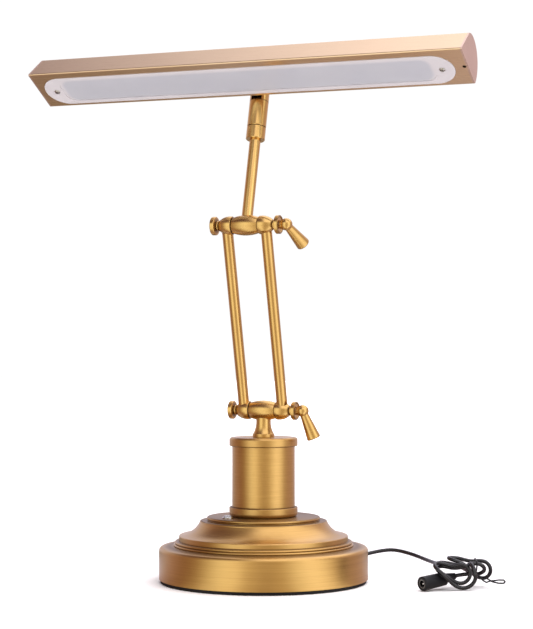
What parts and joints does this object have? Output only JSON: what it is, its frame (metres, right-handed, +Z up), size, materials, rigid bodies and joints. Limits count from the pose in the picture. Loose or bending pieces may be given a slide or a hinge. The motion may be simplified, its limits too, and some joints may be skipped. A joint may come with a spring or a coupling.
{
  "type": "piano lamp",
  "caption": "Brass desk lamp: stepped round foot, short drum, twin swing arms with clamp levers, and a long prism-shaped LED head on a swivel.",
  "frame": {"origin": "centre of the underside of the foot's rubber pad", "axes": "+Z up, +X along the hinge axes and the head towards the levers, +Y towards the back"},
  "size_m": [0.4032, 0.18, 0.4547],
  "materials": {
    "aged_brass": "brushed",
    "hinge_brass": "satin",
    "tube_brass": "brushed",
    "head_metal": "brushed brass colour",
    "ballast": "rough",
    "foot_rubber": "matte",
    "steel": "zinc plated",
    "tray_metal": "mill",
    "opal": "opal",
    "circuit_board": "white lacquer",
    "led_yellow": "phosphor",
    "bright_metal": "bright",
    "button_white": "gloss",
    "black_plastic": "matte",
    "black_rubber": "matte",
    "cord_black": "semi-gloss"
  },
  "bodies": {
    "base": {"base_shell": "aged_brass", "base_weight": "ballast", "base_pad": "foot_rubber", "drum_collar": "aged_brass", "drum_tube": "aged_brass", "drum_cap": "aged_brass", "tie_rod": "steel", "tie_rod_nut": "steel", "stem": "hinge_brass", "lower_barrel": "hinge_brass", "switch_bezel": "bright_metal", "switch_nut": "steel", "switch_body": "black_plastic", "cord_gland": "black_plastic", "power_cord": "cord_black", "cord_hank": "cord_black", "jack_body": "black_plastic", "jack_sleeve": "bright_metal", "jack_pin": "bright_metal", "jack_relief": "black_rubber", "twist_tie": "cord_black"},
    "push_button": {"switch_button": "button_white"},
    "arms": {"left_arm_tube": "tube_brass", "right_arm_tube": "tube_brass", "lower_left_cup": "hinge_brass", "lower_right_cup": "hinge_brass", "upper_left_cup": "hinge_brass", "upper_right_cup": "hinge_brass", "lower_left_disc": "hinge_brass", "lower_right_disc": "hinge_brass", "upper_left_disc": "hinge_brass", "upper_right_disc": "hinge_brass", "lower_bolt": "steel", "upper_bolt": "steel"},
    "lower_clamp_lever": {"lower_lever": "hinge_brass"},
    "upper_clamp_lever": {"upper_lever": "hinge_brass"},
    "rod": {"upper_barrel": "hinge_brass", "upper_rod": "tube_brass", "swivel_collar": "hinge_brass", "swivel_screw": "steel"},
    "swivel": {"swivel_fork": "hinge_brass", "tilt_pin": "steel"},
    "head": {"head_tongue": "hinge_brass", "bracket_screws": "steel", "head_shell": "head_metal", "left_end_cap": "head_metal", "right_end_cap": "head_metal", "diffuser": "opal", "diffuser_screws": "steel", "led_tray": "tray_metal", "led_board": "circuit_board", "led_chips": "led_yellow"}
  },
  "joints": [
    {"name": "lower_hinge", "type": "hinge", "parent": "base", "child": "arms", "pos_m": [0, 0, 0.1476], "axis": [1, 0, 0], "range_deg": [-30, 45]},
    {"name": "upper_hinge", "type": "hinge", "parent": "arms", "child": "rod", "pos_m": [0, -0.03881, 0.30488], "axis": [1, 0, 0], "range_deg": [-45, 60]},
    {"name": "head_turn", "type": "hinge", "parent": "rod", "child": "swivel", "pos_m": [0, -0.01547, 0.3918], "axis": [0, 0.2593, 0.9658], "range_deg": [-90, 90]},
    {"name": "head_tilt", "type": "hinge", "parent": "swivel", "child": "head", "pos_m": [0, -0.00681, 0.42406], "axis": [1, 0, 0], "range_deg": [-60, 15]},
    {"name": "lower_lever_turn", "type": "hinge", "parent": "arms", "child": "lower_clamp_lever", "pos_m": [0.0357, 0, 0.1476], "axis": [1, 0, 0], "range_deg": [0, 180]},
    {"name": "upper_lever_turn", "type": "hinge", "parent": "arms", "child": "upper_clamp_lever", "pos_m": [0.0357, -0.03881, 0.30488], "axis": [1, 0, 0], "range_deg": [0, 180]},
    {"name": "button_press", "type": "slide", "parent": "base", "child": "push_button", "axis": [0, 0, -1], "range_m": [0, 0.0014], "stiffness_N_per_m": 300, "springref_m": -0.002}
  ]
}
